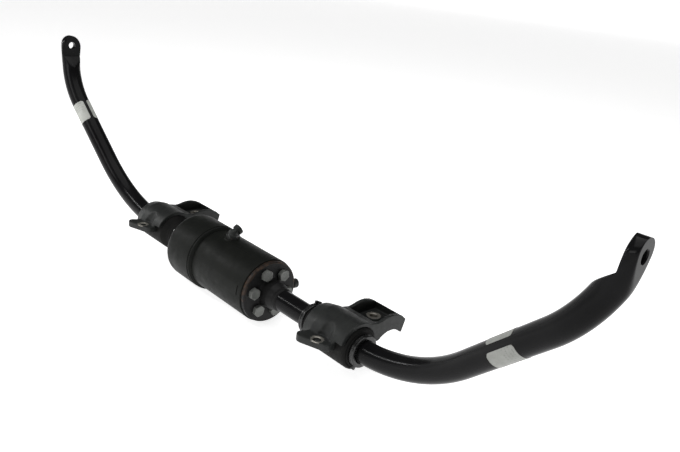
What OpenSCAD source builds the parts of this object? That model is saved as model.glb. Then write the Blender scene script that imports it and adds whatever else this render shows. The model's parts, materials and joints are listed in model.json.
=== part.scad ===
// Hydraulic anti-roll bar: two bent bar halves joined by a rotary vane actuator,
// carried in two rubber-bushed cast clamps. Millimetres. X runs along the bar axis,
// +Z is up, and the bases of both clamps lie in the plane z = 0. The origin is the
// middle of the four clamp bolts.

/* [Bar] */
// Diameter of the bar
bar_d = 32; // [28:0.5:34]
// Middle of the bar to the start of the first bend
bend_x = 258; // [255:1:280]
// Centreline radius of the first bend
bend1_r = 238.8; // [200:1:300]
// Angle of the first bend
bend1_angle = 44.65; // [30:0.5:60]
// Straight length between the two bends
mid_len = 125.6; // [110:1:160]
// Centreline radius of the second bend
bend2_r = 173.5; // [120:1:220]
// Angle of the second bend
bend2_angle = 31.07; // [15:0.5:40]
// Straight length from the second bend to the eye
eye_len = 25; // [20:1:40]
// Lean of both arms away from the vertical
arm_lean = 8; // [-20:1:20]
// Roll of the second bend about the arm
arm_roll = -30.9; // [-45:1:0]

/* [Eyes] */
// Diameter of the drop link hole
eye_hole_d = 13; // [10:0.5:18]
// Outer diameter of the flattened eye
eye_d = 36; // [32:1:44]
// Thickness of the flattened eye
eye_t = 13; // [10:0.5:18]

/* [Actuator] */
// Diameter of the working cylinder
body_d = 99; // [96:0.5:104]
// Diameter of the end housing
end_d = 108; // [104:1:116]
// Left end of the end housing
end_x0 = -136; // [-145:1:-132]
// Joint between the end housing and the working cylinder
joint_x = -66; // [-70:1:-62]
// Right end of the working cylinder
body_x1 = 66; // [62:1:70]
// Thickness of the bolted flange
flange_t = 7; // [6:0.5:12]
// Diameter of the bolted flange
flange_d = 95.5; // [90:0.5:99]
// Bore of the vane chamber
chamber_d = 76; // [70:1:78]
// Angle across each rotor vane
vane_angle = 36; // [30:1:40]
// Swing of the actuator each way from rest
swing = 25; // [15:1:26]

/* [Flange bolts] */
// Number of flange bolts
bolt_count = 6; // [4:1:8]
// Bolt circle diameter
bolt_pcd = 63.8; // [62:0.1:66]
// Thread diameter
bolt_d = 10; // [8:1:10]
// Size across the flats of the head
bolt_af = 16; // [13:1:17]
// Height of the head
bolt_head_h = 6.4; // [5:0.1:8]
// Turn of the bolt circle from the top
bolt_phase = -19.2; // [-30:0.1:30]

/* [Clamps] */
// Bar middle to the middle of each clamp
clamp_x = 226; // [220:1:230]
// Length of each clamp's saddle along the bar
clamp_w = 58; // [54:1:60]
// Outer radius of the saddle
saddle_r = 36; // [34:0.5:40]
// Radius of the bush seat
seat_r = 30; // [28:0.5:31]
// Bar axis to the front bolt
front_bolt_y = 43.5; // [42:0.5:46]
// Bar axis to the rear bolt
rear_bolt_y = 61.5; // [58:0.5:64]
// Diameter of the clamp bolt holes
clamp_hole_d = 11; // [9:0.5:12]
// Thickness of the front ear
ear_t = 10; // [8:0.5:12]

/* [Hidden] */
$fn = 64;

bar_r = bar_d / 2;
shaft_r = bar_r - 0.05;                         // ground straight lengths of the bar
lap = 0.5;                                      // length they run into the bends
body_r = body_d / 2;
end_r = end_d / 2;
flange_r = flange_d / 2;
chamber_r = chamber_d / 2;
axis_y = (front_bolt_y - rear_bolt_y) / 2;      // bar axis from the origin
run_gap = 0.05;                                 // radial clearance of a running fit
seat_gap = 0.02;                                // clearance of parts seated in one body

// Bush and stop collars, measured from the middle of the bar
bush_x0 = 172;
bush_x1 = 264;
bush_neck_r = 21.5;
collar_w = 7.5;
collar_r = 22.5;
collar_tab = 5;                                 // height and half width of the clip's ear

// Clamp, from the middle of its bolts; it reaches further to the right than to the left
clamp_x0 = -24;
clamp_x1 = clamp_x0 + clamp_w;
pocket_floor = 13;
arch_r = 31.2;                                  // relief under each side wall
arch_y = 61;
arch_z = -22.5;
column_x = 15;                                  // half width of the column round the rear bolt
shoulder_x = -42;                               // left end of the saddle's tapered shoulder
shoulder_r = 32;
niche_tilt = -62;                               // hollow in the saddle's front, over the ear
niche_r = 16;
niche_depth = 4;
bush_flat_z = -27;                              // flat underside of the bush

// Label bands round the arms
label_len = 40;
right_label = [50, -39, 288];                   // start along the arm, first and last angle
left_label = [83, 16, 353];

// Actuator stations along the bar axis
chamber_x = 40;                                 // half length of the vane chamber
spigot_x = -84;                                 // inner end of the cylinder's spigot
spigot_r = 46;
wall_bore_r = 24;                               // bore of the cylinder's end wall
journal_r = 20;
hub_r = 24;
socket_r = 15;                                  // rotor socket for the bar's end
rotor_x0 = -96;
rotor_x1 = 57;
neck_x = -100;                                  // where the end housing narrows
seal_seat_r = 30;
end_edge = 12;                                  // rounding of the end housing's edge
plate_t = 20;
bearing_r = 26;
ring_d = 2.8;                                   // section of the static O-rings
joint_ring_r = spigot_r - ring_d / 2;
joint_ring_x = -76;
flange_ring_r = 42.6;
flange_ring_x = body_x1 - ring_d / 2;
plate_ring_r = chamber_r - seat_gap - ring_d / 2;
plate_ring_x = -54;
flange_x1 = body_x1 + flange_t;
bar_hub_r = 21;
bar_hub_x = 90;
bar_hub_x1 = 106;
vane_phi = -34;                                 // middle of the first vane, from the top
stator_angle = 180 - vane_angle - 2 * swing - 1;

// Ports
elbow_x = -28;
elbow_z = 7;                                    // middle of the ball above the cylinder
elbow_tilt = 60;                                // outlet from the top, towards the back
elbow_len = 15;
fitting_x = 55;
fitting_tilt = 97;                              // from the top, towards the back

// ---- building blocks ----

module on_axis() translate([0, axis_y, 0]) children();

module x_cyl(r, x0, x1) translate([x0, 0, 0]) rotate([0, 90, 0]) cylinder(r = r, h = x1 - x0);

module x_cone(r0, r1, x0, x1) translate([x0, 0, 0]) rotate([0, 90, 0])
    cylinder(r1 = r0, r2 = r1, h = x1 - x0);

module x_tube(r_in, r_out, x0, x1) difference() {
    x_cyl(r_out, x0, x1);
    x_cyl(r_in, x0 - 1, x1 + 1);
}

// Ring sector about X, from angle a0 to a1 measured from the top towards +Y
module x_sector(r_in, r_out, x0, x1, a0, a1) rotate([0, 90, 0]) rotate([0, 0, 180 - a1])
    rotate_extrude(angle = a1 - a0) translate([r_in, x0]) square([r_out - r_in, x1 - x0]);

// Turned shape about X from a list of [radius, x]
module x_turned(points) rotate([0, 90, 0]) rotate_extrude() polygon(points);

// O-ring about X, and the square groove it lies in
module o_ring(r, d, x) translate([x, 0, 0]) rotate([0, 90, 0]) rotate_extrude()
    translate([r, 0]) circle(d = d);
module o_groove(r, d, x) x_tube(r - d / 2 - 0.1, r + d / 2 + 0.1, x - d / 2 - 0.1, x + d / 2 + 0.1);

// Turn about X by an angle from the top towards +Y, so that local +Z points there
module at_angle(a) rotate([-a, 0, 0]) children();

// ---- bar halves ----

module bend(r, angle) translate([0, 0, r]) rotate([90, 0, 0]) rotate([0, 0, -90])
    rotate_extrude(angle = angle) translate([r, 0]) circle(d = bar_d);

module past_bend(r, angle)
    translate([r * sin(angle), 0, r * (1 - cos(angle))]) rotate([0, -angle, 0]) children();

module past_first_bend() translate([bend_x, 0, 0]) rotate([arm_lean, 0, 0])
    past_bend(bend1_r, bend1_angle) children();

// Direction of the arm at the eye, and the place of the eye, by turning vectors
function turn_x(a, v) = [v.x, v.y * cos(a) - v.z * sin(a), v.y * sin(a) + v.z * cos(a)];
function rise(a, v) = [v.x * cos(a) - v.z * sin(a), v.y, v.x * sin(a) + v.z * cos(a)];
function bend_end(r, a) = [r * sin(a), 0, r * (1 - cos(a))];
function second_frame(v) = turn_x(arm_lean, rise(bend1_angle, turn_x(arm_roll, v)));
eye_pos = [bend_x, 0, 0]
    + turn_x(arm_lean, bend_end(bend1_r, bend1_angle) + rise(bend1_angle, [mid_len, 0, 0]))
    + second_frame(bend_end(bend2_r, bend2_angle) + rise(bend2_angle, [eye_len, 0, 0]));
eye_dir = second_frame(rise(bend2_angle, [1, 0, 0]));
eye_turn = atan2(eye_dir.y, eye_dir.z);         // in the eye's plane, from the top
eye_slope = eye_dir.x / norm([eye_dir.y, eye_dir.z]);

scarf_len = 70;                                 // bar end that the eye is flattened from
shoulder_z = -20;                               // step from the round bar to the flat
shoulder_run = 14;

// Side view of what is left of the bar's end: the outer face is cut flat, and the
// inner side steps down to the flat at the shoulder
module eye_side() {
    z_low = -scarf_len;
    polygon([[-eye_t / 2, 0], [-eye_t / 2, shoulder_z], [-eye_t / 2 - 16, shoulder_z - shoulder_run],
        [-60, shoulder_z - shoulder_run - 10], [-60, z_low], [eye_t / 2, z_low], [eye_t / 2, 0]]);
}

module eye() translate(eye_pos) at_angle(eye_turn) difference() {
    union() {
        rotate([0, 90, 0]) cylinder(d = eye_d, h = eye_t, center = true);
        translate([-eye_t / 2, 0, 0]) rotate([90, 0, 90]) linear_extrude(height = eye_t)
            polygon([[0.4 - eye_d / 2, 3], [1 - bar_r, -30], [bar_r - 1, -30], [eye_d / 2 - 0.4, 3]]);
        intersection() {
            eye_shank();
            rotate([90, 0, 0]) linear_extrude(height = 2 * eye_d, center = true) eye_side();
        }
    }
    rotate([0, 90, 0]) cylinder(d = eye_hole_d, h = 3 * eye_t, center = true);
}

// The bar's own cylinder, run on from the last straight to the eye
module eye_shank() rotate([0, atan(eye_slope), 0]) translate([0, 0, -eye_len - lap])
    cylinder(r = shaft_r, h = eye_len + lap);

module arm() {
    translate([bend_x, 0, 0]) rotate([arm_lean, 0, 0]) bend(bend1_r, bend1_angle);
    past_first_bend() x_cyl(shaft_r, -lap, mid_len + lap);
    past_first_bend() translate([mid_len, 0, 0]) rotate([arm_roll, 0, 0])
        bend(bend2_r, bend2_angle);
    eye();
}

module bar_left() color("#141516") on_axis() mirror([1, 0, 0]) {
    arm();
    x_cyl(shaft_r, -rotor_x0, bend_x + lap);
    x_cyl(socket_r - seat_gap, -28, -rotor_x0 + lap);
}

module bar_right() color("#141516") on_axis() {
    arm();
    x_cyl(shaft_r, flange_x1 - 1, bend_x + lap);
}

// Bolting flange, a forging welded on the inner end of the right bar half
module output_flange() color("#1b1d1e") on_axis() difference() {
    union() {
        x_cyl(flange_r, body_x1, flange_x1 - 1.5);
        x_cone(flange_r, flange_r - 1.5, flange_x1 - 1.5, flange_x1);
        x_cyl(wall_bore_r - seat_gap, body_x1 - 6, body_x1 + 1);
        x_cyl(bar_hub_r, flange_x1 - 1, bar_hub_x);
        x_cone(bar_hub_r, bar_r + 0.5, bar_hub_x, bar_hub_x1);
    }
    for (i = [0 : bolt_count - 1]) flange_bolt_at(i) x_cyl(bolt_d / 2 + 0.25, -1, 20);
    x_cyl(bar_r, flange_x1 - 1.1, bar_hub_x1 + 1);
}

// ---- clamps, bushes and stop collars ----

// Clamp outline in Y and Z: the saddle and the rear foot
module clamp_outline() {
    intersection() {
        circle(r = saddle_r);
        translate([-saddle_r, 0]) square([2 * saddle_r, saddle_r]);
    }
    polygon([[0, 0], [0, 30], [20, 29.9], [33, 27.5], [40, 28.3], [48, 30.6], [56, 31.8],
        [64, 31.6], [74, 29.2], [83, 25], [91, 18.5], [88, 8], [86, 1.5], [85.4, 0]]);
}

function arc(centre, r, a0, a1, steps = 8) =
    [for (i = [0 : steps]) let (a = a0 + (a1 - a0) * i / steps) centre + r * [cos(a), sin(a)]];

// Front ear in plan, a tongue with round corners that leans to the left
module ear_outline() polygon(concat(
    [[20, -20], [-24, -20], [-26, -40]], arc([-21, -49], 9, 175, 287),
    arc([13, -39.5], 7, 287, 360)));

// Upper half of a tapered ring, the saddle's left shoulder
module shoulder() intersection() {
    x_cone(shoulder_r, saddle_r, shoulder_x, clamp_x0 + 0.1);
    translate([shoulder_x - 1, -saddle_r - 1, 0])
        cube([clamp_x0 - shoulder_x + 2, 2 * saddle_r + 2, saddle_r + 1]);
}

module clamp() on_axis() translate([clamp_x, 0, 0]) difference() {
    union() {
        difference() {
            translate([clamp_x0, 0, 0]) rotate([90, 0, 90]) linear_extrude(height = clamp_w)
                clamp_outline();
            // hollow in the saddle's front
            at_angle(niche_tilt) translate([3, 0, saddle_r - niche_depth + niche_r])
                rotate([90, 0, 0]) cylinder(r = niche_r, h = 60, center = true);
        }
        linear_extrude(height = ear_t) ear_outline();
        shoulder();
    }
    x_cyl(seat_r, -clamp_w, clamp_w);
    // pocket in the rear foot, open at the top
    difference() {
        translate([clamp_x0 + 6, 31, pocket_floor]) cube([clamp_w - 11, 53, 30]);
        x_cyl(saddle_r, -clamp_w, clamp_w);
    }
    // arched reliefs under both side walls
    translate([0, arch_y, arch_z]) x_cyl(arch_r, column_x, clamp_x1 + 1);
    translate([0, arch_y, arch_z]) x_cyl(arch_r, clamp_x0 - 1, -column_x);
    // the saddle's front stops short of the base on the right of the ear
    translate([20, -saddle_r - 5, -1]) cube([20, 30, 14]);
    // tool clearance over the front bolt
    translate([0, -front_bolt_y, ear_t]) cylinder(d = 28, h = 40);
    translate([0, -front_bolt_y, -1]) cylinder(d = clamp_hole_d, h = 20);
    translate([0, rear_bolt_y, -1]) cylinder(d = clamp_hole_d, h = 40);
}

module clamp_boss() on_axis() translate([clamp_x, rear_bolt_y, pocket_floor - 1]) difference() {
    cylinder(d = 24, h = 4);
    translate([0, 0, -1]) cylinder(d = clamp_hole_d, h = 10);
}

module clamp_right() color("#232526") union() {
    clamp();
    clamp_boss();
}

// The same casting, not a mirror image
module clamp_left() color("#232526") translate([-2 * clamp_x, 0, 0]) union() {
    clamp();
    clamp_boss();
}

module bush() on_axis() difference() {
    x_turned([
        [bar_r + 0.03, bush_x0], [bush_neck_r - 1, bush_x0], [bush_neck_r + 1, bush_x0 + 11],
        [seat_r - 3, bush_x0 + 15], [seat_r - seat_gap, bush_x0 + 18],
        [seat_r - seat_gap, bush_x1 - 3], [seat_r - 3, bush_x1 - 1.5],
        [bush_neck_r, bush_x1], [bar_r + 1, bush_x1], [bar_r + 0.03, bend_x - 3]]);
    translate([bush_x0 - 1, -seat_r, -seat_r - 5])
        cube([bush_x1 - bush_x0 + 2, 2 * seat_r, seat_r + 5 + bush_flat_z]);
}

module bush_left() color("#1a1a19") mirror([1, 0, 0]) bush();
module bush_right() color("#1a1a19") bush();

// Ring clinched on the bar, with the small ear of its clip
module stop_collar(x0, tab_angle) on_axis() difference() {
    union() {
        x_cyl(collar_r, x0, x0 + collar_w);
        at_angle(tab_angle) translate([x0 + 1, -collar_tab, collar_r - 3])
            cube([collar_w - 2, 2 * collar_tab, collar_tab + 3]);
    }
    x_cyl(bar_r + 0.6, x0 - 1, x0 + collar_w + 1);
}

module stop_collar_right_inner() color("#1e2021") stop_collar(bush_x0 - collar_w - 0.3, 25);
module stop_collar_right_outer() color("#1e2021") stop_collar(bush_x1 + 0.3, 215);
module stop_collar_left_inner() color("#1e2021")
    mirror([1, 0, 0]) stop_collar(bush_x0 - collar_w - 0.3, 25);
module stop_collar_left_outer() color("#1e2021")
    mirror([1, 0, 0]) stop_collar(bush_x1 + 0.3, 25);

// Paper band round the straight of the arm, not quite closed
module label_band(band) on_axis() past_first_bend()
    x_sector(bar_r + 0.02, bar_r + 0.32, band[0], band[0] + label_len, band[1], band[2]);
module label_right() color("#c9cac6") label_band(right_label);
module label_left() color("#c9cac6") mirror([1, 0, 0]) label_band(left_label);

// ---- actuator shell ----

module flange_bolt_at(i) at_angle(bolt_phase + i * 360 / bolt_count)
    translate([body_x1, 0, bolt_pcd / 2]) children();

module elbow_boss(r, extra) translate([elbow_x, 0, 0]) cylinder(r = r, h = body_r + extra);

module fitting_boss(r, extra) translate([fitting_x, 0, 0]) at_angle(fitting_tilt)
    cylinder(r = r, h = body_r + extra);

module actuator_body() color("#26282a") on_axis() difference() {
    union() {
        x_cyl(body_r, joint_x + 4, body_x1 - 1);
        x_cone(body_r, body_r - 1, body_x1 - 1, body_x1);
        x_cyl(spigot_r, spigot_x, joint_x + 4);
        elbow_boss(12, 1);
        fitting_boss(9, 1.5);
    }
    x_cyl(chamber_r, spigot_x - 1, chamber_x);
    x_cyl(wall_bore_r, chamber_x - 1, body_x1 + 1);
    o_groove(joint_ring_r, ring_d, joint_ring_x);
    o_groove(flange_ring_r, ring_d, flange_ring_x);
    for (i = [0 : bolt_count - 1]) flange_bolt_at(i) x_cyl(bolt_d / 2, -18, 1);
    for (i = [0 : 1]) at_dowel(i) x_cyl(3, chamber_x - 1, chamber_x + 6);
    elbow_boss(4, 10);
    translate([elbow_x, 0, body_r - 5]) cylinder(r = 6.5, h = 20);
    translate([fitting_x, 0, 0]) at_angle(fitting_tilt) translate([0, 0, body_r - 9])
        cylinder(r = 5, h = 20);
}

// Half section of the end housing, with its rounded left edge
module end_section() {
    translate([10, end_x0]) square([end_r - end_edge - 10, joint_x - end_x0]);
    translate([end_r - end_edge - 5, end_x0 + end_edge])
        square([end_edge + 5, joint_x - end_x0 - end_edge]);
    translate([end_r - end_edge, end_x0 + end_edge]) circle(r = end_edge);
    polygon([[10, joint_x - 1], [end_r, joint_x - 1], [end_r, joint_x],
        [body_r, joint_x + 3.9], [10, joint_x + 3.9]]);
}

module end_housing() color("#26282a") on_axis() difference() {
    rotate([0, 90, 0]) rotate_extrude() end_section();
    x_cyl(wall_bore_r, end_x0 - 1, neck_x + 1);
    x_cyl(seal_seat_r, neck_x, joint_x);
    x_cyl(spigot_r + seat_gap, spigot_x - 0.05, joint_x + 5);
    x_cyl(25.5, -127, -125.5);
}

module flange_bolts() color("#8b8d89") on_axis()
    for (i = [0 : bolt_count - 1]) flange_bolt_at(i) {
        intersection() {
            translate([flange_t, 0, 0]) rotate([0, 90, 0])
                cylinder(d = bolt_af / cos(30), h = bolt_head_h, $fn = 6);
            x_cone(bolt_af / 2 + 8, bolt_af / 2 - 0.5, flange_t - 8, flange_t + bolt_head_h);
        }
        x_cyl(bolt_d / 2 - seat_gap, -16, flange_t);
    }

module flange_o_ring() color("#111111") on_axis() o_ring(flange_ring_r, ring_d, flange_ring_x);
module joint_o_ring() color("#111111") on_axis() o_ring(joint_ring_r, ring_d, joint_ring_x);

// ---- actuator works ----

module rotor() color("#9a9b9c") on_axis() difference() {
    union() {
        x_cyl(journal_r, rotor_x0, rotor_x1);
        x_cyl(hub_r, -chamber_x + 0.3, chamber_x - 0.3);
        for (i = [0 : 1]) x_sector(hub_r - 2, chamber_r - 0.3, -chamber_x + 0.3, chamber_x - 0.3,
            vane_phi + 180 * i - vane_angle / 2, vane_phi + 180 * i + vane_angle / 2);
    }
    x_cyl(socket_r, rotor_x0 - 1, 30);
    for (i = [0 : 1]) vane_slot(i, 3, chamber_x);
}

// Seal groove along the crest of a vane
module vane_slot(i, w, half_len) at_angle(vane_phi + 180 * i)
    translate([-half_len, -w / 2, chamber_r - 4]) cube([2 * half_len, w, 10]);

module vane_seals() color("#3a3f3c") on_axis() intersection() {
    for (i = [0 : 1]) vane_slot(i, 2.9, chamber_x - 0.4);
    x_cyl(chamber_r - run_gap, -chamber_x, chamber_x);
}

module at_dowel(i) at_angle(vane_phi + 90 + 180 * i) translate([0, 0, 31]) children();

module stator(i) on_axis() difference() {
    x_sector(hub_r + 0.3, chamber_r - seat_gap, -chamber_x + 0.05, chamber_x - 0.05,
        vane_phi + 90 + 180 * i - stator_angle / 2, vane_phi + 90 + 180 * i + stator_angle / 2);
    at_dowel(i) x_cyl(3, -chamber_x - 1, chamber_x + 1);
    stator_slot(i, 3, chamber_x + 1);
}

// Seal groove on the inner face of a stator, beside the dowel
module stator_slot(i, w, half_len) at_angle(vane_phi + 115 + 180 * i)
    translate([-half_len, -w / 2, hub_r - 2]) cube([2 * half_len, w, 5]);

module stator_upper() color("#77797a") stator(0);
module stator_lower() color("#77797a") stator(1);

module stator_dowels() color("#b0b1b2") on_axis()
    for (i = [0 : 1]) at_dowel(i) x_cyl(3 - seat_gap, -chamber_x - 5, chamber_x + 5);

module stator_seals() color("#3a3f3c") on_axis() difference() {
    for (i = [0 : 1]) stator_slot(i, 2.9, chamber_x - 0.4);
    x_cyl(hub_r + run_gap, -chamber_x, chamber_x);
}

module end_plate() color("#6f7173") on_axis() difference() {
    x_cyl(chamber_r - seat_gap, -chamber_x - plate_t, -chamber_x);
    x_cyl(bearing_r, -chamber_x - plate_t - 1, -chamber_x + 1);
    for (i = [0 : 1]) at_dowel(i) x_cyl(3, -chamber_x - 6, -chamber_x + 1);
    o_groove(plate_ring_r, ring_d, plate_ring_x);
}

module end_plate_o_ring() color("#111111") on_axis() o_ring(plate_ring_r, ring_d, plate_ring_x);

module end_plate_nut() color("#85878a") on_axis()
    x_tube(bearing_r, chamber_r - seat_gap, -chamber_x - plate_t - 10, -chamber_x - plate_t);

module bearing_left() color("#b08d4a") on_axis()
    x_tube(journal_r + run_gap, bearing_r - seat_gap, -chamber_x - 18, -chamber_x - 1);
module bearing_right() color("#b08d4a") on_axis()
    x_tube(journal_r + run_gap, wall_bore_r - seat_gap, chamber_x + 1, chamber_x + 17);
module outer_bearing() color("#b08d4a") on_axis()
    x_tube(bar_r, wall_bore_r - seat_gap, -124, neck_x - 4);
module shaft_seal() color("#16211c") on_axis()
    x_tube(journal_r + run_gap, seal_seat_r - seat_gap, rotor_x0, -86);
module dust_seal() color("#1b1b1b") on_axis()
    x_tube(bar_r, wall_bore_r - seat_gap, end_x0 + 1, -128);
module retaining_ring() color("#54565a") on_axis()
    x_sector(19.5, 25.3, -126.9, -125.6, 15, 345);

// ---- ports ----

// Elbow: threaded stem, hexagon, ball and a short outlet turned towards the back
module port_elbow() color("#1d1f20") on_axis() translate([elbow_x, 0, body_r]) difference() {
    union() {
        translate([0, 0, -4.5]) cylinder(r = 6.5 - seat_gap, h = 9);
        translate([0, 0, 2.5]) cylinder(d = 20, h = 3.5, $fn = 6);
        translate([0, 0, elbow_z]) rotate([-90, 0, 0]) rotate([0, 90, 0]) sphere(r = 7.5);
        translate([0, 0, elbow_z]) at_angle(elbow_tilt) translate([0, 0, 3])
            cylinder(r = 6, h = elbow_len - 3);
        translate([0, 0, elbow_z]) at_angle(elbow_tilt) translate([0, 0, 8])
            cylinder(r = 8.25, h = elbow_len - 9);
    }
    translate([0, 0, -6]) cylinder(r = 3, h = elbow_z + 6.5);
    translate([0, 0, elbow_z]) at_angle(elbow_tilt) translate([0, 0, -1.7])
        cylinder(r = 2.9, h = 30);
}

module port_elbow_washer() color("#a9733e") on_axis() translate([elbow_x, 0, body_r + 1])
    difference() {
        cylinder(r = 9.5, h = 1.5);
        translate([0, 0, -1]) cylinder(r = 6.6, h = 4);
    }

module port_fitting() color("#1d1f20") on_axis() translate([fitting_x, 0, 0])
    at_angle(fitting_tilt) difference() {
        union() {
            translate([0, 0, body_r - 8]) cylinder(r = 5 - seat_gap, h = 12);
            translate([0, 0, body_r + 3]) cylinder(d = 17, h = 4, $fn = 6);
            translate([0, 0, body_r + 7]) cylinder(r = 4.5, h = 4);
            translate([0, 0, body_r + 10]) cylinder(r = 7.5, h = 8);
        }
        translate([0, 0, body_r - 9]) cylinder(r = 2.5, h = 40);
    }

module port_fitting_washer() color("#a9733e") on_axis() translate([fitting_x, 0, 0])
    at_angle(fitting_tilt) translate([0, 0, body_r + 1.5]) difference() {
        cylinder(r = 8, h = 1.5);
        translate([0, 0, -1]) cylinder(r = 5.1, h = 4);
    }

clamp_left();
clamp_right();
bush_left();
bush_right();
bar_left();
bar_right();
output_flange();
stop_collar_left_outer();
stop_collar_left_inner();
stop_collar_right_inner();
stop_collar_right_outer();
label_left();
label_right();
actuator_body();
end_housing();
flange_bolts();
flange_o_ring();
joint_o_ring();
rotor();
vane_seals();
stator_upper();
stator_lower();
stator_dowels();
stator_seals();
end_plate();
end_plate_nut();
end_plate_o_ring();
bearing_left();
bearing_right();
outer_bearing();
shaft_seal();
dust_seal();
retaining_ring();
port_elbow();
port_elbow_washer();
port_fitting();
port_fitting_washer();
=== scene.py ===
"""Looks of the hydraulic anti-roll bar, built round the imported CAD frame."""
import json
import math

import bmesh
import bpy
from mathutils import Matrix, Vector

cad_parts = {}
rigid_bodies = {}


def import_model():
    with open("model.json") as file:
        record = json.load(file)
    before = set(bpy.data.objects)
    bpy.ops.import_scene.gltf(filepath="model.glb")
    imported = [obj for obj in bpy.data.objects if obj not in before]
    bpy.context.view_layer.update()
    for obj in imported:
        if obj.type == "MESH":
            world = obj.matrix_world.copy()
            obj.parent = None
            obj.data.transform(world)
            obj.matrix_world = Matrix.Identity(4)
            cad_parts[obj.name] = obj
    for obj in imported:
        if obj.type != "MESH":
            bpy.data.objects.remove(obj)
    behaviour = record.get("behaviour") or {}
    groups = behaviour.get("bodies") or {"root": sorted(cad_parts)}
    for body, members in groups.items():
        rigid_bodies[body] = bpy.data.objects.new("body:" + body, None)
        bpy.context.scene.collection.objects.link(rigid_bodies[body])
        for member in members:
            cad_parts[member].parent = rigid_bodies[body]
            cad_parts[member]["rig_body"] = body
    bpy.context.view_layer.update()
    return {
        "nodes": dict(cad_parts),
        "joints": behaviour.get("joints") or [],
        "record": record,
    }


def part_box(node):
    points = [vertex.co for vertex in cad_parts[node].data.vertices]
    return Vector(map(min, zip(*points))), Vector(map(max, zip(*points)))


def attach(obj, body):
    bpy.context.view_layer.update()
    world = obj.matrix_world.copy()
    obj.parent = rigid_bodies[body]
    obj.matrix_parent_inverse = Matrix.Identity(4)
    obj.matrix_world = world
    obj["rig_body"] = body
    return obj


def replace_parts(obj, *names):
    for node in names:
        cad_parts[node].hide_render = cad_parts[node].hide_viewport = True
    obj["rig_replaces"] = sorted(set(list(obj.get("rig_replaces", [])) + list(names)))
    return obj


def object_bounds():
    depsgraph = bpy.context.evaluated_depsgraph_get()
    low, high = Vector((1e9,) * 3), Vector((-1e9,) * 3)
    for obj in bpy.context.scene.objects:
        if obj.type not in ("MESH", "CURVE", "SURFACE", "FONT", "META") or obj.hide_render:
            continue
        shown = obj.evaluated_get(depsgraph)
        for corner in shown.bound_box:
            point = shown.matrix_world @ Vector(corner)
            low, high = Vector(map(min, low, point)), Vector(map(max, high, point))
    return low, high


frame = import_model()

scene = bpy.context.scene
MM = 0.001

# ---- sizes, in millimetres; what the frame knows is read from it ----

JOINT_Y = frame["joints"][0]["pos_m"][1] / MM       # the bar axis lies at this y, z = 0
MOUNTS = {m["name"]: m for m in frame["record"]["mounts"]}
BODY_LEFT = "left_half"
BODY_RIGHT = "right_half"

BAR_R = 16.0
BEND_X = 258.0                                      # where the straight bar starts to bend
BEND_1 = (238.8, 44.65)                             # radius and degrees of each bend
MID_LEN = 125.6
BEND_2 = (173.5, 31.07)
EYE_LEN = 25.0
ARM_LEAN = 8.0                                      # degrees the first bend leans back
ARM_ROLL = -30.9                                    # degrees the second bend is rolled
EYE_R = 18.0
EYE_T = 13.0
EYE_HOLE_R = MOUNTS["eye_right"]["dims"]["r_mm"]
EYE_CHAMFER = 1.2
FLATTEN_FROM, FLATTEN_LEN = -80, 45                 # below the hole: sections turn level
EYE_FROM = -75                                      # and the round bar turns into the eye
WIDEN_FROM, WIDEN_LEN = -42, 36
SHOULDER_FROM, SHOULDER_SLOPE = -18.0, 1.25

BODY_R = 49.5
END_R = 54.0
END_X0 = -136.0
JOINT_X = -66.0                                     # where the end housing meets the cylinder
BODY_X1 = 66.0
FLANGE_X1 = 73.0
FLANGE_R = 47.75
HUB_R = 21.0
BOLT_COUNT = 6
BOLT_R = 5.0
BOLT_PCD = 63.8
BOLT_PHASE = -19.2
BOLT_AF = 16.0
BOLT_HEAD_H = 6.4
ELBOW_X = -28.0
FITTING_X, FITTING_TILT = 55.0, 97.0
SEAT_R = 29.98
BUSH_FLAT_Z = -27.0
COLLAR_R = 22.5
BUSH_X = (172.0, 264.0)
LABEL_LEN = 40.0
LABEL_SKIN = (0.03, 0.27)                           # inner and outer face above the bar

CLAMP_DIMS = MOUNTS["clamp_bolts"]["dims"]
CLAMP_BOLT_X = CLAMP_DIMS["spacing_x_mm"] / 2 * MM  # the other pair is at -x
CLAMP_BOLT_Y = CLAMP_DIMS["spacing_y_mm"] / 2 * MM

BAR_AROUND = 96                                     # facets round the bar
TURNED_AROUND = 192                                 # and round the largest turned pieces
CUT_SHARP = 32                                      # degrees that stay sharp after a cut


def rot_x(degrees):
    return Matrix.Rotation(math.radians(degrees), 3, "X")


def rise(degrees):
    """Turns +X towards +Z."""
    return Matrix.Rotation(-math.radians(degrees), 3, "Y")


def bend_offset(radius, degrees):
    a = math.radians(degrees)
    return Vector((radius * math.sin(a), 0, radius * (1 - math.cos(a))))


def smooth_step(t):
    t = min(max(t, 0.0), 1.0)
    return t * t * (3 - 2 * t)


def soft_min(a, b, k):
    h = max(k - abs(a - b), 0.0) / k
    return min(a, b) - h * h * k / 4


# ---- building blocks ----

def add_piece(name, verts, faces, body, material, nodes=(), sharp=38):
    """A mesh piece from vertices in millimetres, riding on a body in place of CAD nodes."""
    mesh = bpy.data.meshes.new(name)
    mesh.from_pydata([Vector(v) * MM for v in verts], [], faces)
    mesh.validate()
    ob = bpy.data.objects.new(name, mesh)
    scene.collection.objects.link(ob)
    mesh.materials.append(material)
    shade(mesh, sharp)
    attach(ob, body)
    if nodes:
        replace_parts(ob, *nodes)
    return ob


def shade(mesh, sharp=38):
    mesh.shade_smooth()
    mesh.set_sharp_from_angle(angle=math.radians(sharp))


def apply_modifiers(ob, sharp=38):
    graph = bpy.context.evaluated_depsgraph_get()
    mesh = bpy.data.meshes.new_from_object(ob.evaluated_get(graph))
    ob.modifiers.clear()
    ob.data = mesh
    shade(mesh, sharp)


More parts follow.
